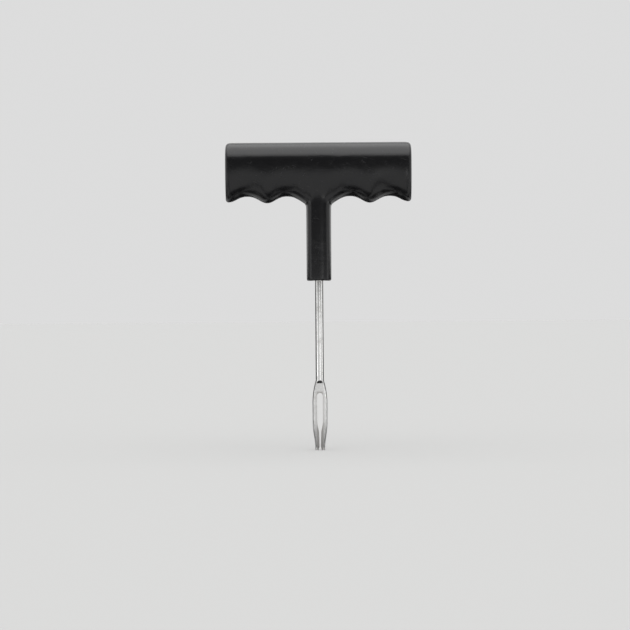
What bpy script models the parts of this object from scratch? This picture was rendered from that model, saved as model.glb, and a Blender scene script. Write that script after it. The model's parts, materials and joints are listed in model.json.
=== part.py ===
"""Tyre plug insertion tool: a T-handle moulded round a forged steel needle with a split eye.

The needle points straight down. The origin is at its tip, on the shank's axis. +Z runs up the
shank to the palm side of the grip bar, +X runs along the bar, and -Y is the front.
Lengths are in metres.
"""

import math

import bmesh
import bpy

# ---- Grip bar, with two finger hollows on each side of the stem ----
GRIP_LENGTH = 0.0800
GRIP_DEPTH = 0.0180  # front to back, at the fattest line
PALM_TO_CREST = 0.0079  # from the palm side down to that fattest line
PALM_TO_HOLLOW = 0.0230  # from the palm side down to the bottom of a finger hollow
LOBE_HEIGHT = 0.0028  # how far a lobe stands below the hollows
LOBE_PITCH = 0.0172  # from one lobe to the next
INNER_HOLLOW_X = 0.0135  # from the shank's axis to the first hollow
LOBE_SHARPNESS = 1.5  # above 1 the lobes are narrower than the hollows
PALM_SQUARENESS = 2.2  # 2 is an ellipse, and more is squarer
FINGER_SQUARENESS = 2.3
GRIP_END_ROUNDING = 0.0018

# ---- Stem ----
STEM_LENGTH = 0.0365  # from the hollows' level down to the mouth
STEM_ROOT_WIDTH = 0.0105
STEM_MOUTH_WIDTH = 0.0104
STEM_ROOT_DEPTH = 0.0130
STEM_MOUTH_DEPTH = 0.0120
STEM_SQUARENESS = 2.5
STEM_FILLET = 0.0015
STEM_BLEND = 0.0048  # from the hollows' level down to where the stem is straight
RIM_SQUARENESS = 3.0  # of the fillet's outline on the bar
MOUTH_ROUNDING = 0.0006

# ---- Needle ----
NEEDLE_REACH = 0.0730  # tip to stem mouth
SHANK_DIAMETER = 0.0035
FORK_LENGTH = 0.0301  # tip to neck
FORK_WIDTH = 0.0064
FORK_THICKNESS = 0.0023
FORK_WIDE_FROM = 0.0116  # the fork has its full width between these two heights
FORK_WIDE_TO = 0.0203
TIP_WIDTH = 0.0041
TIP_THICKNESS = 0.0018
TIP_ROUNDING = 0.0004
FORK_SQUARENESS = 3.2
EYE_WIDTH = 0.00255
EYE_TOP = 0.0247  # height of the eye's round upper end
EYE_STRAIGHT_FROM = 0.0131  # the eye closes to the slit below this height
SLIT_TOP = 0.0079
SLIT_WIDTH = 0.0009
SLIT_WAIST = 0.0005
SLIT_WAIST_HEIGHT = 0.0017
TIP_GAP = 0.0015  # the slit's lead-in, at the very tip

# ---- The needle's end inside the handle ----
BURIED_LENGTH = 0.0450
ANCHOR_LENGTH = 0.0080
ANCHOR_WIDTH = 0.0056
ANCHOR_THICKNESS = 0.0020
ANCHOR_TO_END = 0.0020  # round rod left beyond the flattened anchor
ANCHOR_SHOULDER = 0.0020
POCKET_CLEARANCE = 0.0003

# ---- Mesh fineness ----
GRIP_SIDES = 16
GRIP_STEPS_PER_LOBE = 7
RIM_REACH = 2  # faces of the bar's underside taken up by the stem, each way from its middle
NEEDLE_SIDES = 24
FORK_STEPS = 26
SHOULDER_STEPS = 4
EYE_STEPS = 6  # in the eye's lower taper, and in a quarter of its round end
SMOOTH_ANGLE = math.radians(40)

# ---- Support rings, which hold an edge in place when it is subdivided ----
# Along the bar's end: (how far back from the end face, how far in), in end roundings.
GRIP_END_RINGS = ((0.45, 0.12), (0.0, 0.75), (0.0, 2.0))
STEM_RING_SHARES = (0.35, 0.7)  # of the way from the blend to the mouth
# Round the mouth: (how far up, how far in), in mouth roundings.
MOUTH_RINGS = ((1.5, 0.0), (0.4, 0.1), (0.0, 0.8), (0.0, 2.0))
BORE_RINGS = (0.3, 2.0)  # how far up the bore, in mouth roundings
CIRCLE = 2.0  # the squareness of a circle

# ---- Heights worked out from the sizes above ----
MOUTH_Z = NEEDLE_REACH
HOLLOW_Z = MOUTH_Z + STEM_LENGTH
PALM_Z = HOLLOW_Z + PALM_TO_HOLLOW
CREST_Z = PALM_Z - PALM_TO_CREST
NEEDLE_TOP_Z = MOUTH_Z + BURIED_LENGTH


def clear_scene():
    for obj in list(bpy.data.objects):
        bpy.data.objects.remove(obj, do_unlink=True)


def material(name, colour, roughness, metallic):
    made = bpy.data.materials.new(name)
    made.use_nodes = True
    shader = made.node_tree.nodes["Principled BSDF"]
    shader.inputs["Base Color"].default_value = (*colour, 1.0)
    shader.inputs["Roughness"].default_value = roughness
    shader.inputs["Metallic"].default_value = metallic
    return made


def mix(low, high, share):
    return low + (high - low) * share


def smooth_step(share):
    return share * share * (3 - 2 * share)


def superellipse(half_x, half_y, squareness, turn):
    """The point at this angle on a superellipse."""
    cosine, sine = math.cos(turn), math.sin(turn)
    return (
        half_x * math.copysign(abs(cosine) ** (2 / squareness), cosine),
        half_y * math.copysign(abs(sine) ** (2 / squareness), sine),
    )


def swell(sides):
    """How much wider a ring of this many sides is than what one subdivision makes of it."""
    return 4 / (3 + math.cos(math.tau / sides))


def circumscribed(sides):
    """How much wider a polygon of this many sides is than the circle that it goes round."""
    return 1 / math.cos(math.pi / sides)


def bridge(mesh, ring, following):
    """Joins two rings of as many vertices with a band of quads."""
    for i in range(len(ring)):
        j = (i + 1) % len(ring)
        mesh.faces.new((ring[i], ring[j], following[j], following[i]))


def object_from(mesh, name, finish=None):
    """Makes an object of a bmesh, with its faces pointing out and shaded smooth."""
    bmesh.ops.recalc_face_normals(mesh, faces=mesh.faces)
    data = bpy.data.meshes.new(name)
    mesh.to_mesh(data)
    mesh.free()
    data.shade_smooth()
    data.set_sharp_from_angle(angle=SMOOTH_ANGLE)
    obj = bpy.data.objects.new(name, data)
    bpy.context.scene.collection.objects.link(obj)
    if finish:
        data.materials.append(finish)
    return obj


# ---------------------------------------------------------------- handle


def finger_side_z(x):
    """Height of the bar's finger side, which waves between hollows and lobes."""
    phase = math.tau * (abs(x) - INNER_HOLLOW_X) / LOBE_PITCH
    # One subdivision flattens a wave drawn with few steps, so the cage overstates it.
    height = LOBE_HEIGHT * swell(GRIP_STEPS_PER_LOBE)
    return HOLLOW_Z - height * ((1 - math.cos(phase)) / 2) ** LOBE_SHARPNESS


def grip_ring(mesh, x, section_x, inset):
    """One ring round the bar at x, shaped as the bar is at section_x and drawn in by inset."""
    grown = swell(GRIP_SIDES)
    bottom = finger_side_z(section_x)
    ring = []
    for i in range(GRIP_SIDES):
        turn = math.tau * i / GRIP_SIDES
        above = math.cos(turn) >= 0
        squareness = PALM_SQUARENESS if above else FINGER_SQUARENESS
        reach = (PALM_Z - CREST_Z if above else CREST_Z - bottom) * grown - inset
        y, z = superellipse(GRIP_DEPTH / 2 * grown - inset, reach, squareness, turn + math.pi / 2)
        ring.append((x, y, CREST_Z + (z if above else -abs(z))))
    return [mesh.verts.new(place) for place in ring]


def grip_underside_z(x, y):
    """Height of the bar's skin below the crest, at this place."""
    grown = swell(GRIP_SIDES)
    share = min(1.0, abs(y) / (GRIP_DEPTH / 2 * grown))
    drop = (1 - share**FINGER_SQUARENESS) ** (1 / FINGER_SQUARENESS)
    return CREST_Z - (CREST_Z - finger_side_z(x)) * grown * drop


def grip_stations():
    """(x, section x, inset) of each ring along the right half of the bar, from the centre out."""
    half = GRIP_LENGTH / 2
    stem = STEM_ROOT_WIDTH / 2 + STEM_FILLET
    last = half - 2 * GRIP_END_ROUNDING
    steps = round((last - stem) / (LOBE_PITCH / GRIP_STEPS_PER_LOBE))
    along = [0.0, stem / 2] + [mix(stem, last, i / steps) for i in range(steps + 1)]
    section = half - GRIP_END_ROUNDING
    return [(x, x, 0.0) for x in along] + [
        (half - back * GRIP_END_ROUNDING, section, inset * GRIP_END_ROUNDING)
        for back, inset in GRIP_END_RINGS
    ]


def round_ring(mesh, half_x, half_y, squareness, heights, growth=swell):
    """A superelliptic ring about the shank's axis, with one vertex for each of the heights."""
    around = len(heights)
    grown = growth(around)
    ring = []
    for i in range(around):
        x, y = superellipse(half_x * grown, half_y * grown, squareness, math.tau * i / around)
        ring.append(mesh.verts.new((x, y, heights[i])))
    return ring


def stem_root(mesh, rings, centre):
    """Opens the finger side at its middle and returns the rim, rounded towards the stem's shape."""
    bottom = GRIP_SIDES // 2
    reach = RIM_REACH
    patch = {
        (i, j): rings[centre + i][bottom + j]
        for i in range(-reach, reach + 1)
        for j in range(-reach, reach + 1)
    }
    # The rim from the middle of its +X side, towards +Y and round.
    keys = [(reach, j) for j in range(-reach, reach)]
    keys += [(i, reach) for i in range(reach, -reach, -1)]
    keys += [(-reach, j) for j in range(reach, -reach, -1)]
    keys += [(i, -reach) for i in range(-reach, reach)]
    keys = keys[reach:] + keys[:reach]
    inner = [patch[key] for key in patch if max(abs(key[0]), abs(key[1])) < reach]
    bmesh.ops.delete(mesh, geom=inner, context="VERTS")
    rim = [patch[key] for key in keys]
    half_x = STEM_ROOT_WIDTH / 2 + STEM_FILLET
    half_y = STEM_ROOT_DEPTH / 2 + STEM_FILLET / 2
    for i, vertex in enumerate(rim):
        x, y = superellipse(half_x, half_y, RIM_SQUARENESS, math.tau * i / len(rim))
        vertex.co = (x, y, grip_underside_z(x, y))
    return rim


def keep_sharp(mesh, corners):
    """Creases every edge between these vertices, so that subdividing leaves their shape as it is."""
    crease = mesh.edges.layers.float.new("crease_edge")
    for edge in mesh.edges:
        if corners.issuperset(edge.verts):
            edge[crease] = 1.0


def pocket_sections():
    """(z, half width, half depth, squareness) of each ring round the rod's pocket, from the mouth up."""
    bore = SHANK_DIAMETER / 2 + POCKET_CLEARANCE
    edge = bore + BORE_RINGS[0] * MOUTH_ROUNDING
    end = NEEDLE_TOP_Z + POCKET_CLEARANCE
    return [
        (MOUTH_Z, edge, edge, CIRCLE),
        *((MOUTH_Z + rise * MOUTH_ROUNDING, bore, bore, CIRCLE) for rise in BORE_RINGS),
        *anchor_sections(POCKET_CLEARANCE),
        (NEEDLE_TOP_Z, bore, bore, CIRCLE),
        (end, bore, bore, CIRCLE),
        (end, bore / 2, bore / 2, CIRCLE),
    ]


def add_stem(mesh, rim):
    """Draws the stem down from its rim on the bar, turns it in at the mouth and lines its pocket."""
    around = len(rim)
    level = HOLLOW_Z - STEM_BLEND
    blend = [mix(vertex.co.z, level, 0.5) for vertex in rim]
    width, depth = STEM_ROOT_WIDTH / 2, STEM_ROOT_DEPTH / 2
    stem = [
        rim,
        round_ring(mesh, width + STEM_FILLET / 8, depth, STEM_SQUARENESS, blend),
        round_ring(mesh, width, depth, STEM_SQUARENESS, [level] * around),
    ]
    for share in STEM_RING_SHARES:
        width = mix(STEM_ROOT_WIDTH, STEM_MOUTH_WIDTH, share) / 2
        depth = mix(STEM_ROOT_DEPTH, STEM_MOUTH_DEPTH, share) / 2
        heights = [mix(level, MOUTH_Z, share)] * around
        stem.append(round_ring(mesh, width, depth, STEM_SQUARENESS, heights))
    width, depth = STEM_MOUTH_WIDTH / 2, STEM_MOUTH_DEPTH / 2
    for rise, inset in MOUTH_RINGS:
        drawn_in = inset * MOUTH_ROUNDING
        heights = [MOUTH_Z + rise * MOUTH_ROUNDING] * around
        stem.append(
            round_ring(mesh, width - drawn_in, depth - drawn_in, STEM_SQUARENESS, heights)
        )
    pocket = [
        round_ring(mesh, half_x, half_y, squareness, [z] * around, circumscribed)
        for z, half_x, half_y, squareness in pocket_sections()
    ]
    rings = stem + pocket
    for ring, following in zip(rings, rings[1:]):
        bridge(mesh, ring, following)
    mesh.faces.new(rings[-1])
    keep_sharp(mesh, {vertex for ring in pocket for vertex in ring})


def make_handle(finish):
    mesh = bmesh.new()
    right = grip_stations()
    left = [(-x, section, inset) for x, section, inset in reversed(right[1:])]
    rings = [grip_ring(mesh, *station) for station in left + right]
    for ring, following in zip(rings, rings[1:]):
        bridge(mesh, ring, following)
    mesh.faces.new(rings[0])
    mesh.faces.new(rings[-1])
    add_stem(mesh, stem_root(mesh, rings, len(left)))
    handle = object_from(mesh, "handle", finish)
    smooth = handle.modifiers.new("smooth moulding", "SUBSURF")
    smooth.levels = 1
    smooth.render_levels = 1
    return handle


# ---------------------------------------------------------------- needle


def fork_half_width(z):
    """Half the fork's width: it swells from the tip, then runs in to the neck in a shoulder."""
    if z < FORK_WIDE_FROM:
        return mix(TIP_WIDTH, FORK_WIDTH, smooth_step(z / FORK_WIDE_FROM)) / 2
    if z < FORK_WIDE_TO:
        return FORK_WIDTH / 2
    share = min(1.0, (z - FORK_WIDE_TO) / (FORK_LENGTH - FORK_WIDE_TO))
    return mix(FORK_WIDTH, SHANK_DIAMETER, share**2) / 2


def fork_section(z):
    """(z, half width, half thickness, squareness) of the forging before its eye is cut."""
    if z < FORK_WIDE_FROM:
        thickness = mix(TIP_THICKNESS, FORK_THICKNESS, z / FORK_WIDE_FROM)
        return z, fork_half_width(z), thickness / 2, FORK_SQUARENESS
    share = smooth_step(
        min(1.0, max(0.0, (z - FORK_WIDE_TO) / (FORK_LENGTH - FORK_WIDE_TO)))
    )
    thickness = mix(FORK_THICKNESS, SHANK_DIAMETER, share)
    return z, fork_half_width(z), thickness / 2, mix(FORK_SQUARENESS, CIRCLE, share)


def anchor_sections(grow):
    """Sections up the rod's end where it is flattened so that it can't turn, each grown outwards."""
    top = NEEDLE_TOP_Z - ANCHOR_TO_END
    low = top - ANCHOR_LENGTH
    steps = [i / SHOULDER_STEPS for i in range(SHOULDER_STEPS + 1)]
    widening = [(low + ANCHOR_SHOULDER * step, smooth_step(step)) for step in steps]
    narrowing = [(top - ANCHOR_SHOULDER * step, smooth_step(step)) for step in reversed(steps)]
    return [
        (
            z,
            mix(SHANK_DIAMETER, ANCHOR_WIDTH, share) / 2 + grow,
            mix(SHANK_DIAMETER, ANCHOR_THICKNESS, share) / 2 + grow,
            mix(CIRCLE, FORK_SQUARENESS, share),
        )
        for z, share in widening + narrowing
    ]


def loft(sections):
    """A closed mesh through superelliptic sections stacked up the Z axis."""
    mesh = bmesh.new()
    rings = []
    for z, half_x, half_y, squareness in sections:
        ring = []
        for i in range(NEEDLE_SIDES):
            turn = math.tau * (i + 0.5) / NEEDLE_SIDES
            x, y = superellipse(half_x, half_y, squareness, turn)
            ring.append(mesh.verts.new((x, y, z)))
        rings.append(ring)
    for ring, following in zip(rings, rings[1:]):
        bridge(mesh, ring, following)
    mesh.faces.new(rings[0])
    mesh.faces.new(rings[-1])
    return mesh


def eye_outline():
    """(x, z) round the eye, the slit below it and the slit's lead-in at the tip."""
    below = -TIP_ROUNDING
    flare = TIP_GAP / 2 + (TIP_GAP - SLIT_WAIST) / 2 * TIP_ROUNDING / SLIT_WAIST_HEIGHT
    radius = EYE_WIDTH / 2
    right = [
        (flare, below),
        (SLIT_WAIST / 2, SLIT_WAIST_HEIGHT),
        (SLIT_WIDTH / 2, SLIT_TOP),
    ]
    for i in range(1, EYE_STEPS + 1):
        share = i / EYE_STEPS
        right.append(
            (
                mix(SLIT_WIDTH / 2, radius, math.sin(share * math.pi / 2)),
                mix(SLIT_TOP, EYE_STRAIGHT_FROM, share),
            )
        )
    centre = EYE_TOP - radius
    for i in range(EYE_STEPS):
        turn = math.pi / 2 * i / EYE_STEPS
        right.append((radius * math.cos(turn), centre + radius * math.sin(turn)))
    left = [(-x, z) for x, z in reversed(right)]
    return right + [(0.0, EYE_TOP)] + left


def make_eye_cutter():
    reach = SHANK_DIAMETER
    mesh = bmesh.new()
    front = [mesh.verts.new((x, -reach, z)) for x, z in eye_outline()]
    back = [mesh.verts.new((x, reach, z)) for x, z in eye_outline()]
    bridge(mesh, front, back)
    mesh.faces.new(front)
    mesh.faces.new(back)
    cutter = object_from(mesh, "eye_cutter")
    cutter.hide_render = True
    cutter.display_type = "WIRE"
    return cutter


def make_needle(finish, eye_cutter):
    radius = SHANK_DIAMETER / 2
    steps = [i / FORK_STEPS for i in range(FORK_STEPS + 1)]
    blank = [
        (0.0, TIP_WIDTH / 2 - TIP_ROUNDING, TIP_THICKNESS / 2 - TIP_ROUNDING, FORK_SQUARENESS),
        *(fork_section(mix(TIP_ROUNDING, FORK_LENGTH, step)) for step in steps),
        *anchor_sections(0.0),
        (NEEDLE_TOP_Z - TIP_ROUNDING, radius, radius, CIRCLE),
        (NEEDLE_TOP_Z, radius - TIP_ROUNDING, radius - TIP_ROUNDING, CIRCLE),
    ]
    needle = object_from(loft(blank), "needle", finish)
    cut = needle.modifiers.new("split eye", "BOOLEAN")
    cut.operation = "DIFFERENCE"
    cut.solver = "EXACT"
    cut.object = eye_cutter
    return needle


def main():
    clear_scene()
    black_plastic = material("black moulded plastic", (0.018, 0.018, 0.020), 0.32, 0.0)
    plated_steel = material("bright plated steel", (0.62, 0.62, 0.60), 0.24, 1.0)
    make_handle(black_plastic)
    make_needle(plated_steel, make_eye_cutter())


main()
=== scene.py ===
"""Looks of the tyre plug insertion tool: black moulded T-handle, forged and plated needle."""
import json
import math

import bmesh
import bpy
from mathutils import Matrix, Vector

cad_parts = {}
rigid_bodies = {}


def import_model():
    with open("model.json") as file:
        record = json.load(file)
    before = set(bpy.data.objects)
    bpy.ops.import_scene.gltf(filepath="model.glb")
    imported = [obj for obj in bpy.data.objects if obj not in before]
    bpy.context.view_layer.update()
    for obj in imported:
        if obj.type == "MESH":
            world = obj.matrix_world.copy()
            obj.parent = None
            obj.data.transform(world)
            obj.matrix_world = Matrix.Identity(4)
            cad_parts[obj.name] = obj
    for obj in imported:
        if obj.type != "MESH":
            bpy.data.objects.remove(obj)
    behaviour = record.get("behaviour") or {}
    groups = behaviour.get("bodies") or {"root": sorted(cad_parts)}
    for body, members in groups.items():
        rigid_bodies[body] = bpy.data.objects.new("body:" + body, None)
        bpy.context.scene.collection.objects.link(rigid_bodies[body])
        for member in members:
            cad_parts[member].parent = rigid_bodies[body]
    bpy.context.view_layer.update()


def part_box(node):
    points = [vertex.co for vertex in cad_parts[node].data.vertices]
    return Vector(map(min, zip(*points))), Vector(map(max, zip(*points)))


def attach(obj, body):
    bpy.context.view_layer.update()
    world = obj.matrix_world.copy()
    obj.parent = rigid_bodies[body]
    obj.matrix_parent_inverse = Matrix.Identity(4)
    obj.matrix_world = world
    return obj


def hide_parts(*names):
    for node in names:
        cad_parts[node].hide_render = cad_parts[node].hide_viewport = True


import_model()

MM = 0.001
TINY = 1e-6
NEAR = 0.01 * MM  # how far a moulded point may lie from where it is looked for

# ---- Places and sizes that the frame gives ----
HANDLE_LOW, HANDLE_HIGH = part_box("handle")
NEEDLE_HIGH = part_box("needle")[1]
GRIP_HALF = HANDLE_HIGH.x
GRIP_HALF_DEPTH = HANDLE_HIGH.y
PALM_Z = HANDLE_HIGH.z
MOUTH_Z = HANDLE_LOW.z
SHANK_RADIUS = NEEDLE_HIGH.y
FORK_HALF_WIDTH = NEEDLE_HIGH.x
NEEDLE_TOP_Z = NEEDLE_HIGH.z

# ---- Grip bar ----
CREST_Z = PALM_Z - 7.9 * MM  # the fattest line of the bar
HOLLOW_Z = MOUTH_Z + 36.5 * MM  # bottom of the finger hollows
LOBE_HEIGHT = 2.8 * MM
LOBE_PITCH = 17.2 * MM
LOBE_STEPS = 8  # rings of the cage in one pitch
LOBE_SHARPNESS = 1.5
INNER_HOLLOW_X = 13.5 * MM
PALM_SQUARENESS = 2.2
FINGER_SQUARENESS = 2.3
END_ROUNDING = 1.8 * MM
END_RING = 0.45 * END_ROUNDING  # from the end face back to the ring that holds its rounding
END_DRAWN_IN = 0.75 * END_ROUNDING  # the end face's rim, in from the bar's section
END_INSET = 1.25 * END_ROUNDING  # a further ring, on the flat of the end face
GRIP_SIDES = 16
SMOOTHING = 3  # levels of subdivision of the handle's cage

# ---- Stem ----
STEM_ROOT = (5.25 * MM, 6.5 * MM)  # half width, half depth
STEM_MOUTH = (5.2 * MM, 6.0 * MM)
STEM_FILLET = 1.5 * MM
STEM_BLEND = 4.8 * MM  # from the hollows' level down to where the stem is straight
STEM_SHARES = (0.3, 0.65)  # where the stem has rings, between its root and its mouth
RIM_SQUARENESS = 3.0  # of the opening in the bar's underside that the stem grows from
BLEND_SPREAD = 0.02  # how much wider than the root the blend's first ring is
BLEND_RISE = 0.5  # the share of the rim's own wave that is left in that ring
MOUTH_ROUNDING = 0.6 * MM
MOUTH_RINGS = ((1.6, 0.0), (0.45, 0.08), (0.0, 0.75), (0.0, 2.0))  # rise, inset, in roundings
LIP_GAP = 0.03 * MM  # the plastic has shrunk this close round the rod at the mouth
LIP_RIM = 1.25  # the mouth's flat ends this far out, in lips
LIP_RINGS = ((1.02, 0.1), (1.0, 0.5), (1.0, 1.5))  # radius in lips, and rise in millimetres
POCKET_GAP = 0.3 * MM
POCKET_FROM = 2.5 * MM  # above the mouth, where the lip opens out into the pocket
POCKET_SECOND_RING = 4 * MM
POCKET_WALL = 4 * POCKET_GAP  # all of the pocket lies inside this distance from the rod
POCKET_ROOF = 3 * MM  # and inside this distance above its end

# ---- Parting line of the two mould halves, in the plane Y = 0 ----
FLASH_HALF_WIDTH = 0.10 * MM
FLASH_HEIGHT = 0.07 * MM
LINE_REACH = 0.02 * MM  # how far off the plane a point of the line may lie

# ---- Needle ----
NECK_Z = 30.1 * MM
FORK_WIDE_FROM = 11.6 * MM
FORK_WIDE_TO = 20.3 * MM
TIP_HALF_WIDTH = 2.05 * MM
FORK_HALF_THICKNESS = 1.15 * MM
TIP_HALF_THICKNESS = 0.9 * MM
EYE_RADIUS = 1.275 * MM
EYE_TOP = 24.7 * MM
EYE_STRAIGHT_FROM = 13.1 * MM
SLIT_TOP = 7.9 * MM
SLIT_HALF_WIDTH = 0.45 * MM
SLIT_WAIST = 0.25 * MM
SLIT_WAIST_Z = 1.7 * MM
TIP_HALF_GAP = 0.75 * MM
ROD_SIDES = 64
FORK_RING = 0.6 * MM  # between the rings of the fork's blank
DIE_SHOULDER = 2.2 * MM  # radius of the forging die's corner, which shapes the neck
FORGING_VOXEL = 0.1 * MM
FORGING_SOFTENING = (0.5, 4)  # factor and rounds of smoothing, as plating softens an edge
SHARPEST_SMOOTH = math.radians(50)  # a sharper turn than this stays a crisp edge
DIE_REACH = 5 * MM
DIE_MARGIN = 1 * MM  # beyond the tips
DIE_STEPS = 10
PUNCH_MARGIN = 1 * MM
PUNCH_DEPTH = 8 * MM
PUNCH_STEPS = (10, 16)  # in the taper, and in the round top
PUNCH_CROWN = 0.04  # width of the punch's highest edge, against the eye's
FACET_UPPER = (3.0 * MM, FORK_HALF_THICKNESS, 5.6 * MM)  # corners of the facet on one quarter
FACET_INNER = (0.7 * MM, TIP_HALF_THICKNESS, -0.2 * MM)
FACET_OUTER = (TIP_HALF_WIDTH, 0.30 * MM, 0.0)
CUT_Z = 34 * MM  # the shank is drawn up from here as one plain tube
ROUND_FROM = CUT_Z + 1 * MM
BLANK_HEIGHT = CUT_Z + 2 * MM
ANCHOR_LENGTH = 8 * MM
ANCHOR_TO_END = 2 * MM
ANCHOR_SHOULDER = 2 * MM
ANCHOR_HALF = (2.8 * MM, 1.0 * MM)  # half width, half thickness of the flattened part
ANCHOR_STEPS = 8
ROD_CHAMFER = 0.3 * MM

# ---- Finishes ----
MOULDED_BLACK = (0.0055, 0.0055, 0.0061, 1.0)
RUBBED_BLACK = (0.036, 0.036, 0.038, 1.0)
PLASTIC_IOR = 1.46
PLASTIC_RELIEF = 0.25 * MM
BRIGHT_PLATING = (0.82, 0.82, 0.81, 1.0)
# The darker plating colour, used both for random tarnish and for painted shade in the eye and
# by the mouth.
TARNISH_AND_SHADE_PLATING = (0.42, 0.40, 0.37, 1.0)
PLATING_EDGE_TINT = (0.30, 0.30, 0.31, 1.0)
STEEL_RELIEF = 0.03 * MM
PAPER_GREY = (0.389, 0.389, 0.386, 1.0)
FELT_GREY = (0.06, 0.06, 0.06, 1.0)

# ---- Studio ----
FLOOR_RADIUS = 30.0
FLOOR_INSET = FLOOR_RADIUS * 0.8
FLOOR_SIDES = 96
AIR_RADIANCE = 0.72
TOP_LIGHTS = ((38, 0.62), (56, 1.0))  # half angle in degrees, and radiance
TOP_LIGHT_LEAN = math.radians(14)  # towards the front
STRIP_RADIANCE = 1.7
STRIP_WIDTH = 0.09
STRIP_HEIGHT = 0.08  # low enough to show in the steel and not in the grip bar
STRIP_DISTANCE = 0.5
STRIP_TURNS = (16, 82, -66, 215)  # degrees round the tool, from the front
FLAGS = {  # place and size of the upright dark cards
    "flag_front": ((0.0, -0.32, 0.170), (0.9, 0.01, 0.192)),
    "flag_right": ((0.22, 0.80, 0.0425), (0.01, 1.56, 0.085)),
    "flag_left": ((-0.22, 0.80, 0.0425), (0.01, 1.56, 0.085)),
}
FAN_HEIGHT = -0.003  # just under the floor, which reflections look through
FAN_SIDES = 360
FANS = {  # radius of the dark fans, and their wedges from one turn to another, in degrees
    "near_fan": (0.085, ((-38, 38), (62, 118), (-118, -62), (158, 208))),
    "far_fan": (
        0.42,
        ((20, 27), (74, 84), (112, 121), (158, 202), (-31, -25), (-72, -64), (-106, -94)),
    ),
}
VIEW_WIDTH = 0.27155  # what the camera spans at the tool
VIEW_CENTRE = (-0.00187, 0.0582)
VIEW_DISTANCE = 1.0
VIEW_ROLL = math.radians(0.4)
VIEW_CLIP = (0.01, 20.0)
SENSOR = 36.0


# ---------------------------------------------------------------- modelling helpers


def mix(low, high, share):
    return low + (high - low) * share


def smooth_step(share):
    share = min(1.0, max(0.0, share))
    return share * share * (3 - 2 * share)


def swell(steps):
    """How much larger a cage of this many steps is than the smooth surface drawn inside it."""
    return 3 / (2 + math.cos(math.tau / steps))


def superellipse(half_a, half_b, squareness, turn):
    """A point of a rounded oblong: 2 is an ellipse, and more is squarer."""
    cosine, sine = math.cos(turn), math.sin(turn)
    return (
        half_a * math.copysign(abs(cosine) ** (2 / squareness), cosine),
        half_b * math.copysign(abs(sine) ** (2 / squareness), sine),
    )


def only(obj):
    """Makes this the one selected and active object."""
    if bpy.context.object and bpy.context.object.mode != "OBJECT":
        bpy.ops.object.mode_set(mode="OBJECT")
    for other in bpy.context.view_layer.objects:
        other.select_set(False)
    obj.select_set(True)
    bpy.context.view_layer.objects.active = obj


def begin(name):
    """Names the primitive just added, puts its place in its mesh and opens it for editing."""
    obj = bpy.context.object
    obj.name = obj.data.name = name
    only(obj)
    bpy.ops.object.transform_apply(location=True, rotation=True, scale=True)
    bpy.ops.object.mode_set(mode="EDIT")
    return obj


def pick(obj, wanted, kind="VERT"):
    """Selects just the vertices, edges or faces for which wanted() holds."""
    bpy.ops.mesh.select_mode(type=kind)
    bpy.ops.mesh.select_all(action="DESELECT")
    mesh = bmesh.from_edit_mesh(obj.data)
    for element in {"VERT": mesh.verts, "EDGE": mesh.edges, "FACE": mesh.faces}[kind]:
        if wanted(element):
            element.select_set(True)
    mesh.select_flush_mode()
    bmesh.update_edit_mesh(obj.data)


def pick_points(obj, wanted):
    """Selects the vertices whose place wanted() holds for."""
    pick(obj, lambda vertex: wanted(vertex.co))


def picked(obj):
    """The places of the selected vertices."""
    return [v.co.copy() for v in bmesh.from_edit_mesh(obj.data).verts if v.select]


def slide(x=0.0, y=0.0, z=0.0):
    bpy.ops.transform.translate(value=(x, y, z))


def scale(x=1.0, y=1.0, z=1.0, about=(0.0, 0.0, 0.0)):
    bpy.ops.transform.resize(value=(x, y, z), center_override=about)


def slice_at(place, normal, **settings):
    """Slices the piece that is being edited along a plane."""
    bpy.ops.mesh.select_all(action="SELECT")
    bpy.ops.mesh.bisect(plane_co=place, plane_no=normal, **settings)


def fit_ring(obj, half_x, half_y, z):
    """Levels the picked ring at z and gives it this half width and half depth."""
    ring = picked(obj)
    wide = max(abs(place.x) for place in ring)
    deep = max(abs(place.y) for place in ring)
    scale(half_x / wide, half_y / deep, 0.0)
    slide(z=z)


def next_ring(obj, half_x, half_y, z):
    """Extrudes the picked ring of edges to a new level ring."""
    bpy.ops.mesh.extrude_region_move()
    fit_ring(obj, half_x, half_y, z)


def use_modifier(obj, kind, **settings):
    """Adds a modifier and applies it."""
    only(obj)
    modifier = obj.modifiers.new(kind.lower(), kind)
    for key, value in settings.items():
        setattr(modifier, key, value)
    bpy.ops.object.modifier_apply(modifier=modifier.name)


def cut(obj, cutter):
    """Cuts one object from another and removes the cutter."""
    use_modifier(obj, "BOOLEAN", operation="DIFFERENCE", solver="EXACT", object=cutter)
    bpy.data.objects.remove(cutter)


# ---------------------------------------------------------------- handle


def finger_side_z(x):
    """Height of the bar's finger side, which waves between hollows and lobes."""
    phase = math.tau * (abs(x) - INNER_HOLLOW_X) / LOBE_PITCH
    height = LOBE_HEIGHT * swell(LOBE_STEPS)
    return HOLLOW_Z - height * ((1 - math.cos(phase)) / 2) ** LOBE_SHARPNESS


def ring_stations():
    """Where the bar's cage has its rings, from the stem's side out to the end."""
    first = STEM_ROOT[0] + STEM_FILLET
    last = GRIP_HALF - 2 * END_ROUNDING
    steps = round((last - first) / (LOBE_PITCH / LOBE_STEPS))
    inner = [first / 2, first]
    return inner + [mix(first, last, (i + 1) / steps) for i in range(steps)]


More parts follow.
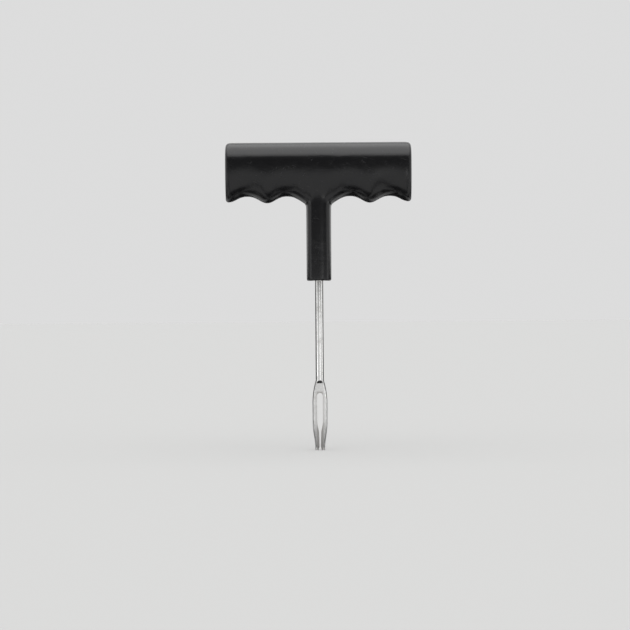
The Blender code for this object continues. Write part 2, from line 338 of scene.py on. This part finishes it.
def shape_section(bar):
    """Moves the round bar's sixteen long edges out to the grip's section."""
    grown = swell(GRIP_SIDES)
    half_depth = GRIP_HALF_DEPTH * grown
    for i in range(GRIP_SIDES):
        turn = math.tau * i / GRIP_SIDES
        y, z = GRIP_HALF_DEPTH * math.cos(turn), GRIP_HALF_DEPTH * math.sin(turn)
        above = z > -TINY
        reach = (PALM_Z - CREST_Z if above else CREST_Z - HOLLOW_Z) * grown
        squareness = PALM_SQUARENESS if above else FINGER_SQUARENESS
        goal_y, goal_z = superellipse(half_depth, reach, squareness, turn)
        pick_points(bar, lambda p: math.hypot(p.y - y, p.z - CREST_Z - z) < NEAR)
        slide(y=goal_y - y, z=goal_z - z)


def wave_finger_side(bar, stations):
    """Draws each ring's lower half down to the wave of hollows and lobes."""
    for x in stations + [GRIP_HALF]:
        section = min(x, GRIP_HALF - END_ROUNDING)
        depth = (CREST_Z - finger_side_z(section)) / (CREST_Z - HOLLOW_Z)
        pick_points(bar, lambda p: abs(abs(p.x) - x) < TINY and p.z < CREST_Z - TINY)
        scale(z=depth, about=(0.0, 0.0, CREST_Z))


def round_ends(bar):
    """Rounds the edge of both end faces and splits them along the mould's parting plane."""
    for side in (1, -1):
        slice_at((side * (GRIP_HALF - END_RING), 0.0, 0.0), (1.0, 0.0, 0.0))
        pick_points(bar, lambda p: abs(p.x - side * GRIP_HALF) < TINY)
        ring = picked(bar)
        centre = (max(p.z for p in ring) + min(p.z for p in ring)) / 2
        half_depth = max(p.y for p in ring)
        half_height = max(p.z for p in ring) - centre
        scale(
            y=1 - END_DRAWN_IN / half_depth,
            z=1 - END_DRAWN_IN / half_height,
            about=(0.0, 0.0, centre),
        )
        pick(bar, lambda face: face.normal.x * side > 0.99, "FACE")
        bpy.ops.mesh.inset(thickness=END_INSET)
        bpy.ops.mesh.bisect(plane_co=(0.0, 0.0, 0.0), plane_no=(0.0, 1.0, 0.0))


def underside_z(x, y):
    """Height of the bar's cage on its finger side, at this place."""
    grown = swell(GRIP_SIDES)
    share = min(1.0, abs(y) / (GRIP_HALF_DEPTH * grown))
    drop = (1 - share**FINGER_SQUARENESS) ** (1 / FINGER_SQUARENESS)
    return CREST_Z - (CREST_Z - finger_side_z(x)) * grown * drop


def open_underside(bar):
    """Opens the bar where the stem starts, and rounds the rim towards the stem's section."""
    half_x = STEM_ROOT[0] + STEM_FILLET
    half_y = STEM_ROOT[1] + STEM_FILLET / 2
    half_depth = GRIP_HALF_DEPTH * swell(GRIP_SIDES)
    edge_turn = math.pi / 2 - math.tau * 2 / GRIP_SIDES
    edge_y = superellipse(half_depth, 1.0, FINGER_SQUARENESS, edge_turn)[0]
    pick_points(
        bar,
        lambda p: abs(p.x) < half_x - TINY
        and abs(p.y) < edge_y - TINY
        and p.z < CREST_Z - TINY,
    )
    bpy.ops.mesh.delete(type="VERT")
    bpy.ops.mesh.select_mode(type="EDGE")
    bpy.ops.mesh.select_non_manifold(extend=False)

    def turn_on_rim(p):
        # Rounded and never -0.0, which would send a point to the rim's other end.
        return math.atan2(round(p.y / edge_y, 4) + 0.0, p.x / half_x)

    rim = sorted(picked(bar), key=turn_on_rim)
    for i, place in enumerate(rim):
        turn = math.tau * i / len(rim) - math.pi + math.tau / len(rim)
        x, y = superellipse(half_x, half_y, RIM_SQUARENESS, turn)
        pick_points(bar, lambda p: (p - place).length < TINY)
        slide(x - place.x, y - place.y, underside_z(x, y) - place.z)


def draw_stem(bar):
    """Extrudes the stem down from its rim and turns it in at the mouth, close round the rod."""
    bpy.ops.mesh.select_mode(type="EDGE")
    bpy.ops.mesh.select_non_manifold(extend=False)
    grown = swell(GRIP_SIDES)
    level = HOLLOW_Z - STEM_BLEND
    root = [half * grown for half in STEM_ROOT]
    mouth = [half * grown for half in STEM_MOUTH]
    bpy.ops.mesh.extrude_region_move()
    ring = picked(bar)
    scale(
        root[0] / max(p.x for p in ring) + BLEND_SPREAD,
        root[1] / max(p.y for p in ring),
        BLEND_RISE,
        about=(0.0, 0.0, level),
    )
    next_ring(bar, *root, level)
    for share in STEM_SHARES:
        sides = [mix(a, b, share) for a, b in zip(root, mouth)]
        next_ring(bar, *sides, mix(level, MOUTH_Z, share))
    for rise, inset in MOUTH_RINGS:
        sides = [half - inset * MOUTH_ROUNDING for half in mouth]
        next_ring(bar, *sides, MOUTH_Z + rise * MOUTH_ROUNDING)
    lip = (SHANK_RADIUS + LIP_GAP) * grown
    rim = lip * LIP_RIM
    next_ring(bar, rim, rim, MOUTH_Z)
    bpy.ops.transform.tosphere(value=1.0)
    fit_ring(bar, rim, rim, 0.0)
    slide(z=MOUTH_Z - picked(bar)[0].z)
    for size, rise in LIP_RINGS:
        next_ring(bar, lip * size, lip * size, MOUTH_Z + rise * MM)


def draw_pocket(bar):
    """Lines the pocket that holds the rod's buried end, and closes it above the rod."""
    grown = swell(GRIP_SIDES)
    bore = (SHANK_RADIUS + POCKET_GAP) * grown
    flat = [(half + POCKET_GAP) * grown for half in ANCHOR_HALF]
    top = NEEDLE_TOP_Z - ANCHOR_TO_END
    low = top - ANCHOR_LENGTH
    levels = (
        (bore, bore, MOUTH_Z + POCKET_FROM),
        (bore, bore, MOUTH_Z + POCKET_SECOND_RING),
        (bore, bore, low - ANCHOR_SHOULDER),
        (bore, bore, low),
        (*flat, low + ANCHOR_SHOULDER),
        (*flat, top - ANCHOR_SHOULDER),
        (bore, bore, top),
        (bore, bore, NEEDLE_TOP_Z + POCKET_GAP / 2),
        (bore, bore, NEEDLE_TOP_Z + 2 * POCKET_GAP),
        (bore / 2, bore / 2, NEEDLE_TOP_Z + 2 * POCKET_GAP),
    )
    for half_x, half_y, z in levels:
        next_ring(bar, half_x, half_y, z)
    bpy.ops.mesh.edge_face_add()


def raise_flash(bar):
    """Raises the thin witness line that the two mould halves leave all round the handle."""

    def on_line(vertex):
        place = vertex.co
        outside = (
            math.hypot(place.x, place.y) > SHANK_RADIUS + POCKET_WALL
            or place.z > NEEDLE_TOP_Z + POCKET_ROOF
        )
        return outside and abs(place.y) < LINE_REACH

    def on_crest(vertex):
        across = [edge.other_vert(vertex).co.y for edge in vertex.link_edges]
        return on_line(vertex) and all(abs(y) < 2 * FLASH_HALF_WIDTH for y in across)

    pick(bar, on_line)
    scale(y=0.0)
    pick(bar, lambda edge: all(on_line(vertex) for vertex in edge.verts), "EDGE")
    bpy.ops.mesh.bevel(offset=FLASH_HALF_WIDTH, segments=2, affect="EDGES")
    pick(bar, on_crest)
    bpy.ops.transform.shrink_fatten(value=FLASH_HEIGHT)


def make_handle():
    """The moulding: a cage of grip bar, stem and pocket, smoothed, then its parting line."""
    bpy.ops.mesh.primitive_cylinder_add(
        vertices=GRIP_SIDES,
        radius=GRIP_HALF_DEPTH,
        depth=2 * GRIP_HALF,
        location=(0.0, 0.0, CREST_Z),
        rotation=(0.0, math.pi / 2, 0.0),
    )
    bar = begin("moulded_handle")
    shape_section(bar)
    stations = ring_stations()
    cuts = [place for x in stations for place in (x, -x)] + [0.0]
    for x in cuts:
        slice_at((x, 0.0, 0.0), (1.0, 0.0, 0.0))
    wave_finger_side(bar, stations)
    round_ends(bar)
    open_underside(bar)
    draw_stem(bar)
    draw_pocket(bar)
    bpy.ops.mesh.select_all(action="SELECT")
    bpy.ops.mesh.remove_doubles(threshold=TINY)
    bpy.ops.mesh.normals_make_consistent(inside=False)
    use_modifier(bar, "SUBSURF", levels=SMOOTHING, render_levels=SMOOTHING)
    bpy.ops.object.mode_set(mode="EDIT")
    raise_flash(bar)
    bpy.ops.object.mode_set(mode="OBJECT")
    bpy.ops.object.shade_smooth()
    return bar


# ---------------------------------------------------------------- needle


def fork_half_width(z):
    """Half the fork's width: it swells from the tip, then runs in to the neck in a shoulder."""
    if z < FORK_WIDE_FROM:
        return mix(TIP_HALF_WIDTH, FORK_HALF_WIDTH, smooth_step(z / FORK_WIDE_FROM))
    if z < FORK_WIDE_TO:
        return FORK_HALF_WIDTH
    share = min(1.0, (z - FORK_WIDE_TO) / (NECK_Z - FORK_WIDE_TO))
    return mix(FORK_HALF_WIDTH, SHANK_RADIUS, share**2)


def eye_half_width(z):
    """Half the width of the opening at this height: lead-in, slit, taper, eye and round top."""
    if z < SLIT_WAIST_Z:
        return mix(TIP_HALF_GAP, SLIT_WAIST, z / SLIT_WAIST_Z)
    if z < SLIT_TOP:
        share = (z - SLIT_WAIST_Z) / (SLIT_TOP - SLIT_WAIST_Z)
        return mix(SLIT_WAIST, SLIT_HALF_WIDTH, share)
    if z < EYE_STRAIGHT_FROM:
        share = (z - SLIT_TOP) / (EYE_STRAIGHT_FROM - SLIT_TOP)
        return mix(SLIT_HALF_WIDTH, EYE_RADIUS, math.sin(share * math.pi / 2))
    rise = max(0.0, z - (EYE_TOP - EYE_RADIUS))
    return math.sqrt(max(0.0, EYE_RADIUS**2 - rise**2))


def forging_blank():
    """The rod's end, spread to the fork's outline."""
    bpy.ops.mesh.primitive_cylinder_add(
        vertices=ROD_SIDES,
        radius=SHANK_RADIUS,
        depth=BLANK_HEIGHT,
        location=(0.0, 0.0, BLANK_HEIGHT / 2),
    )
    blank = begin("forged_needle")
    steps = round(NECK_Z / FORK_RING)
    for i in range(1, steps + 1):
        slice_at((0.0, 0.0, NECK_Z * i / steps), (0.0, 0.0, 1.0))
    for i in range(steps):
        z = NECK_Z * i / steps
        pick_points(blank, lambda p: abs(p.z - z) < TINY)
        scale(x=fork_half_width(z) / SHANK_RADIUS)
    bpy.ops.object.mode_set(mode="OBJECT")
    return blank


def forging_die(side):
    """One of the two dies that flatten the fork, with the round corner that shapes the neck."""
    height = NECK_Z + DIE_SHOULDER / 4
    middle = side * (FORK_HALF_THICKNESS + DIE_REACH / 2)
    bpy.ops.mesh.primitive_cube_add(
        size=1.0,
        location=(0.0, middle, height / 2 - DIE_MARGIN),
        scale=(4 * FORK_HALF_WIDTH, DIE_REACH, height + 2 * DIE_MARGIN),
    )
    die = begin("forging_die")
    inner = side * FORK_HALF_THICKNESS

    def on_shoulder(edge):
        places = [vertex.co for vertex in edge.verts]
        return all(abs(p.y - inner) < TINY and p.z > NECK_Z / 2 for p in places)

    pick(die, on_shoulder, "EDGE")
    bpy.ops.mesh.bevel(offset=DIE_SHOULDER, segments=DIE_STEPS, affect="EDGES")
    slice_at((0.0, 0.0, FORK_WIDE_FROM), (0.0, 0.0, 1.0))
    pick_points(die, lambda p: p.z < 0 and abs(p.y - inner) < TINY)
    lean = (FORK_HALF_THICKNESS - TIP_HALF_THICKNESS) / FORK_WIDE_FROM
    slide(y=-side * lean * (FORK_WIDE_FROM + DIE_MARGIN))
    bpy.ops.object.mode_set(mode="OBJECT")
    return die


def eye_punch():
    """The cutter of the eye, the slit below it and the lead-in at the tip."""
    low = -PUNCH_MARGIN
    bpy.ops.mesh.primitive_cube_add(
        size=1.0,
        location=(0.0, 0.0, (low + EYE_TOP) / 2),
        scale=(2 * EYE_RADIUS, PUNCH_DEPTH, EYE_TOP - low),
    )
    punch = begin("eye_punch")
    centre = EYE_TOP - EYE_RADIUS
    taper, top = PUNCH_STEPS
    quarter = [math.pi / 2 * i / top for i in range(top)]
    levels = [0.0, SLIT_WAIST_Z, SLIT_TOP]
    levels += [mix(SLIT_TOP, EYE_STRAIGHT_FROM, i / taper) for i in range(1, taper + 1)]
    levels += [centre + EYE_RADIUS * math.sin(turn) for turn in quarter]
    for z in levels:
        slice_at((0.0, 0.0, z), (0.0, 0.0, 1.0))
    for z in [low] + levels:
        pick_points(punch, lambda p: abs(p.z - z) < TINY)
        scale(x=eye_half_width(z) / EYE_RADIUS)
    pick_points(punch, lambda p: abs(p.z - EYE_TOP) < TINY)
    scale(x=PUNCH_CROWN)
    bpy.ops.object.mode_set(mode="OBJECT")
    return punch


def grind_tips(blank):
    """Grinds the four slanting facets that bring the prongs' tips to a point."""
    only(blank)
    bpy.ops.object.mode_set(mode="EDIT")
    for side in (1, -1):
        for front in (1, -1):
            upper, inner, outer = (
                Vector((side * x, front * y, z))
                for x, y, z in (FACET_UPPER, FACET_INNER, FACET_OUTER)
            )
            normal = (inner - upper).cross(outer - upper).normalized()
            if normal.y * front < 0:
                normal.negate()
            slice_at(upper, normal, clear_outer=True, use_fill=True)
    bpy.ops.object.mode_set(mode="OBJECT")


def draw_shank(needle):
    """Draws the plain shank up from the forging, with the flattened anchor near its end."""
    bpy.ops.object.mode_set(mode="EDIT")
    slice_at((0.0, 0.0, CUT_Z), (0.0, 0.0, 1.0), clear_outer=True)
    bpy.ops.mesh.select_mode(type="EDGE")
    bpy.ops.mesh.select_non_manifold(extend=False)
    top = NEEDLE_TOP_Z - ANCHOR_TO_END
    low = top - ANCHOR_LENGTH
    radius = SHANK_RADIUS
    levels = [(radius, radius, z) for z in (ROUND_FROM, MOUTH_Z, low)]
    steps = [i / ANCHOR_STEPS for i in range(1, ANCHOR_STEPS + 1)]
    for step in steps:
        halves = [mix(radius, half, smooth_step(step)) for half in ANCHOR_HALF]
        levels.append((*halves, low + ANCHOR_SHOULDER * step))
    for step in steps:
        halves = [mix(half, radius, smooth_step(step)) for half in ANCHOR_HALF]
        levels.append((*halves, top - ANCHOR_SHOULDER * (1 - step)))
    end = radius - ROD_CHAMFER
    levels += [
        (radius, radius, NEEDLE_TOP_Z - ROD_CHAMFER),
        (end, end, NEEDLE_TOP_Z),
        (radius / 2, radius / 2, NEEDLE_TOP_Z),
    ]
    for half_x, half_y, z in levels:
        next_ring(needle, half_x, half_y, z)
    bpy.ops.mesh.edge_face_add()
    bpy.ops.mesh.select_all(action="SELECT")
    bpy.ops.mesh.normals_make_consistent(inside=False)
    bpy.ops.object.mode_set(mode="OBJECT")


def make_needle():
    """The forging: blank, dies, punch and grinding, softened by the plating, then the shank."""
    needle = forging_blank()
    for side in (1, -1):
        cut(needle, forging_die(side))
    cut(needle, eye_punch())
    grind_tips(needle)
    use_modifier(needle, "REMESH", mode="VOXEL", voxel_size=FORGING_VOXEL)
    factor, rounds = FORGING_SOFTENING
    use_modifier(needle, "SMOOTH", factor=factor, iterations=rounds)
    draw_shank(needle)
    only(needle)
    bpy.ops.object.shade_smooth_by_angle(angle=SHARPEST_SMOOTH)
    return needle


# ---------------------------------------------------------------- finishes


class Value:
    """A socket of a finish. An expression on values adds the Math nodes that work it out."""

    def __init__(self, finish, socket):
        self.finish = finish
        self.socket = socket

    def math(self, operation, *others, swap=False):
        values = [self, *others]
        if swap:
            values.reverse()
        sockets = dict(enumerate(values))
        return self.finish.node("Math", {"operation": operation}, sockets)

    def __add__(self, other):
        return self.math("ADD", other)

    def __sub__(self, other):
        return self.math("SUBTRACT", other)

    def __mul__(self, other):
        return self.math("MULTIPLY", other)

    def __truediv__(self, other):
        return self.math("DIVIDE", other)

    def __radd__(self, other):
        return self.math("ADD", other, swap=True)

    def __rsub__(self, other):
        return self.math("SUBTRACT", other, swap=True)

    def __rmul__(self, other):
        return self.math("MULTIPLY", other, swap=True)

    def __rtruediv__(self, other):
        return self.math("DIVIDE", other, swap=True)

    def __abs__(self):
        return self.math("ABSOLUTE")

    def limited(self):
        """The same value held between 0 and 1."""
        return self.math("MINIMUM", 1.0).math("MAXIMUM", 0.0)

    def between(self, low, high):
        """0 below low and 1 above high, with an even change from one to the other."""
        return ((self - low) / (high - low)).limited()


class Finish:
    """A material, with its nodes reading the place on the piece in metres."""

    def __init__(self, name):
        self.material = bpy.data.materials.new(name)
        self.material.use_nodes = True
        self.tree = self.material.node_tree
        self.shader = self.tree.nodes["Principled BSDF"]
        self.place = self.node("TexCoord", output="Object")

    def node(self, kind, settings=None, sockets=None, output=0):
        """Adds a node with these settings, then its sockets' values or links."""
        node = self.tree.nodes.new("ShaderNode" + kind)
        for key, value in (settings or {}).items():
            setattr(node, key, value)
        for key, value in (sockets or {}).items():
            self.feed(node.inputs[key], value)
        return Value(self, node.outputs[output])

    def feed(self, socket, value):
        """Links a value to a socket, or sets the socket to a number or colour."""
        if isinstance(value, Value):
            self.tree.links.new(value.socket, socket)
        else:
            socket.default_value = value

    def set(self, **sockets):
        """Sets or links the shader's own sockets, by their names with _ for a space."""
        for key, value in sockets.items():
            self.feed(self.shader.inputs[key.replace("_", " ")], value)

    def stretched(self, x=1.0, y=1.0, z=1.0, slant=0.0):
        """The place on the piece, scaled along axes that lean by slant."""
        sockets = {
            "Vector": self.place,
            "Rotation": (0.0, slant, 0.0),
            "Scale": (1 / x, 1 / y, 1 / z),
        }
        return self.node("Mapping", {"vector_type": "TEXTURE"}, sockets)

    def noise(self, scale, detail, roughness=0.5, place=None, distortion=0.0):
        """Uneven light and dark, with this many patches to the metre."""
        sockets = {
            "Vector": place or self.place,
            "Scale": scale,
            "Detail": detail,
            "Roughness": roughness,
            "Distortion": distortion,
        }
        return self.node("TexNoise", None, sockets)

    def blend(self, share, first, second):
        """A colour between two others."""
        sockets = {0: share, 6: first, 7: second}
        return self.node("Mix", {"data_type": "RGBA"}, sockets, output=2)

    def axis(self, name):
        """One coordinate of the place on the piece."""
        return self.node("SeparateXYZ", None, {0: self.place}, output=name)

    def bump(self, height, distance):
        """The surface's normal with this relief, whose height is a share of distance."""
        sockets = {"Height": height, "Distance": distance, "Strength": 1.0}
        return self.node("Bump", None, sockets, "Normal")


def black_plastic():
    """Moulded black plastic: satin skin, flow marks, fine scuffs, wear on lobes and ends."""
    finish = Finish("moulded_black_plastic")
    x, z = finish.axis("X"), finish.axis("Z")
    along = finish.stretched(x=0.5)
    flow = finish.noise(70.0, detail=3.0, place=along, distortion=0.6)
    grain = finish.noise(2600.0, detail=2.0, roughness=0.6)
    cloud = finish.noise(220.0, detail=4.0, roughness=0.6)
    level = finish.stretched(260.0, 5200.0, 3600.0, slant=0.3)
    level_scuffs = finish.noise(1.0, detail=1.0, place=level, distortion=0.3)
    steep = finish.stretched(3900.0, 4700.0, 300.0, slant=0.6)
    steep_scuffs = finish.noise(1.0, detail=1.0, place=steep, distortion=0.3)
    scuffs = level_scuffs.between(0.66, 0.74) + steep_scuffs.between(0.67, 0.75)
    scuffs = scuffs * cloud.between(0.45, 0.62)
    ends = abs(x).between(GRIP_HALF - 2.2 * MM, GRIP_HALF - 0.2 * MM)
    lobes = (HOLLOW_Z - z).between(0.6 * MM, 2.6 * MM) * abs(x).between(8 * MM, 12 * MM)
    palm = z.between(PALM_Z - 1.6 * MM, PALM_Z)
    rubbed = (ends * 0.5 + lobes * 0.8 + palm * 0.5) * cloud.between(0.42, 0.7)
    worn = (rubbed + scuffs * 0.5).limited()
    colour = finish.blend(worn, MOULDED_BLACK, RUBBED_BLACK)
    roughness = 0.15 + flow * 0.10 + cloud * 0.06 + worn * 0.18
    relief = flow * 0.85 + grain * 0.05 - scuffs * 0.04
    finish.set(
        Base_Color=colour,
        Roughness=roughness,
        Normal=finish.bump(relief, PLASTIC_RELIEF),
        IOR=PLASTIC_IOR,
    )
    return finish.material


def plated_steel():
    """Bright plated steel: drawn lines on the shank, forging marks on the fork, tarnish,
    painted shade in the eye and below the mouth.
    """
    finish = Finish("bright_plated_steel")
    x, z = finish.axis("X"), finish.axis("Z")
    fine_lines = finish.stretched(5200.0, 5200.0, 26.0)
    drawn = finish.noise(1.0, detail=3.0, roughness=0.6, place=fine_lines)
    coarse_lines = finish.stretched(1500.0, 1500.0, 60.0)
    coarse = finish.noise(1.0, detail=2.0, place=coarse_lines)
    hammered = finish.noise(900.0, detail=3.0, roughness=0.55)
    tarnish = finish.noise(260.0, detail=4.0, roughness=0.6)
    forged = 1 - z.between(NECK_Z - 1 * MM, NECK_Z + 2 * MM)
    # Painted shade: a darker colour on the walls of the eye and the slit and close round them,
    # where the opening lies in shade.
    inside = 1 - abs(x).between(EYE_RADIUS - 0.05 * MM, EYE_RADIUS + 0.35 * MM)
    eye_painted_shade = inside * (1 - z.between(EYE_TOP, EYE_TOP + 1 * MM)) * forged
    # Painted shade: the shank darkens over the 2.2 mm below the handle's mouth, and stays dark
    # above it, where the handle shades it.
    mouth_painted_shade = z.between(MOUTH_Z - 2.2 * MM, MOUTH_Z)
    # Random tarnish together with the painted shade of the eye and the mouth. This darkens the
    # colour and makes the plating rougher.
    tarnish_and_painted_shade = (tarnish.between(0.5, 0.75) * 0.35 + eye_painted_shade * 0.5 + mouth_painted_shade * 0.35).limited()
    colour = finish.blend(tarnish_and_painted_shade, BRIGHT_PLATING, TARNISH_AND_SHADE_PLATING)
    roughness = 0.11 + drawn * 0.12 + tarnish_and_painted_shade * 0.18 + forged * 0.05
    relief = drawn * (1 - forged * 0.6) * 0.5 + coarse * 0.25 + hammered * forged * 0.8
    finish.set(
        Base_Color=colour,
        Roughness=roughness,
        Metallic=1.0,
        Specular_Tint=PLATING_EDGE_TINT,
        Normal=finish.bump(relief, STEEL_RELIEF),
    )
    return finish.material


def pale_paper():
    """Matt paper for the floor."""
    finish = Finish("pale_studio_paper")
    finish.set(Base_Color=PAPER_GREY, Roughness=0.9, Specular_IOR_Level=0.0)
    return finish.material


def dark_felt():
    """Matt felt for the cards that put dark lines into the steel and the gloss."""
    finish = Finish("dark_studio_felt")
    finish.set(Base_Color=FELT_GREY, Roughness=1.0, Specular_IOR_Level=0.0)
    return finish.material


# ---------------------------------------------------------------- studio


def make_floor():
    """A wide, plain floor, which glossy pieces don't reflect."""
    bpy.ops.mesh.primitive_circle_add(
        vertices=FLOOR_SIDES, radius=FLOOR_RADIUS, fill_type="NGON"
    )
    floor = begin("studio_floor")
    bpy.ops.mesh.select_all(action="SELECT")
    bpy.ops.mesh.inset(thickness=FLOOR_INSET)
    bpy.ops.object.mode_set(mode="OBJECT")
    floor.data.materials.append(pale_paper())
    floor.visible_glossy = False


def only_in_reflections(card):
    """Makes a stage piece a dark card that neither the camera nor the soft light notices."""
    card.data.materials.append(dark_felt())
    card.visible_camera = False
    card.visible_shadow = False
    card.visible_diffuse = False


def flag(name, place, size):
    """An upright dark card. It only darkens what glossy pieces reflect there."""
    bpy.ops.mesh.primitive_cube_add(size=1.0, location=place, scale=size)
    card = begin(name)
    bpy.ops.mesh.select_all(action="SELECT")
    bpy.ops.mesh.bevel(offset=min(size) / 4, segments=2, affect="EDGES")
    bpy.ops.object.mode_set(mode="OBJECT")
    only_in_reflections(card)


def dark_fan(name, radius, wedges):
    """Dark wedges on the ground round the tool, which draw dark lines in the steel."""
    bpy.ops.mesh.primitive_circle_add(
        vertices=FAN_SIDES,
        radius=radius,
        fill_type="TRIFAN",
        location=(0.0, 0.0, FAN_HEIGHT),
    )
    fan = begin(name)

    def between_wedges(face):
        place = face.calc_center_median()
        turn = math.degrees(math.atan2(place.x, -place.y))
        turns = (turn, turn + 360)
        return not any(low < t < high for low, high in wedges for t in turns)

    pick(fan, between_wedges, "FACE")
    bpy.ops.mesh.delete(type="FACE")
    bpy.ops.object.mode_set(mode="OBJECT")
    only_in_reflections(fan)


def strip_light(turn):
    """A low upright strip of light that only shows as a bright line in glossy pieces."""
    place = Vector((math.sin(turn), -math.cos(turn), 0.0)) * STRIP_DISTANCE
    place.z = STRIP_HEIGHT / 2
    bpy.ops.object.light_add(type="AREA", location=place)
    lamp = bpy.context.object
    lamp.name = "strip_light"
    lamp.rotation_euler = (math.pi / 2, 0.0, turn)
    lamp.data.shape = "RECTANGLE"
    lamp.data.size = STRIP_WIDTH
    lamp.data.size_y = STRIP_HEIGHT
    lamp.data.energy = STRIP_RADIANCE * math.pi * STRIP_WIDTH * STRIP_HEIGHT
    lamp.visible_camera = False
    lamp.visible_diffuse = False


def top_light(half_angle, radiance):
    """A wide, soft, round light overhead."""
    bpy.ops.object.light_add(type="SUN", location=(0.0, 0.0, 1.0))
    lamp = bpy.context.object
    lamp.name = "top_light"
    lamp.rotation_euler = (TOP_LIGHT_LEAN, 0.0, 0.0)
    lamp.data.angle = 2 * half_angle
    lamp.data.energy = radiance * math.tau * (1 - math.cos(half_angle))


def light_studio():
    """Even pale air all round, soft light overhead, and strips for the steel."""
    scene = bpy.context.scene
    scene.world = bpy.data.worlds.new("studio_air")
    scene.world.use_nodes = True
    air = scene.world.node_tree.nodes["Background"]
    air.inputs["Color"].default_value = (1.0, 1.0, 1.0, 1.0)
    air.inputs["Strength"].default_value = AIR_RADIANCE
    for degrees, radiance in TOP_LIGHTS:
        top_light(math.radians(degrees), radiance)
    for degrees in STRIP_TURNS:
        strip_light(math.radians(degrees))
    scene.view_settings.view_transform = "Standard"


def aim_camera():
    """A level camera straight in front of the tool, with a long lens and a slight roll."""
    bpy.ops.object.camera_add(location=(VIEW_CENTRE[0], -VIEW_DISTANCE, VIEW_CENTRE[1]))
    camera = bpy.context.object
    camera.rotation_euler = (math.pi / 2, VIEW_ROLL, 0.0)
    camera.data.sensor_width = SENSOR
    camera.data.lens = SENSOR * VIEW_DISTANCE / VIEW_WIDTH
    camera.data.clip_start, camera.data.clip_end = VIEW_CLIP
    bpy.context.scene.camera = camera


def finished(piece, finish, node):
    """Gives a finished piece its material and its place in the frame."""
    only(piece)
    piece.data.materials.clear()
    piece.data.materials.append(finish)
    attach(piece, "root")
    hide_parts(node)


def main():
    finished(make_handle(), black_plastic(), "handle")
    finished(make_needle(), plated_steel(), "needle")
    make_floor()
    for name, (place, size) in FLAGS.items():
        flag(name, place, size)
    for name, (radius, wedges) in FANS.items():
        dark_fan(name, radius, wedges)
    light_studio()
    aim_camera()


main()
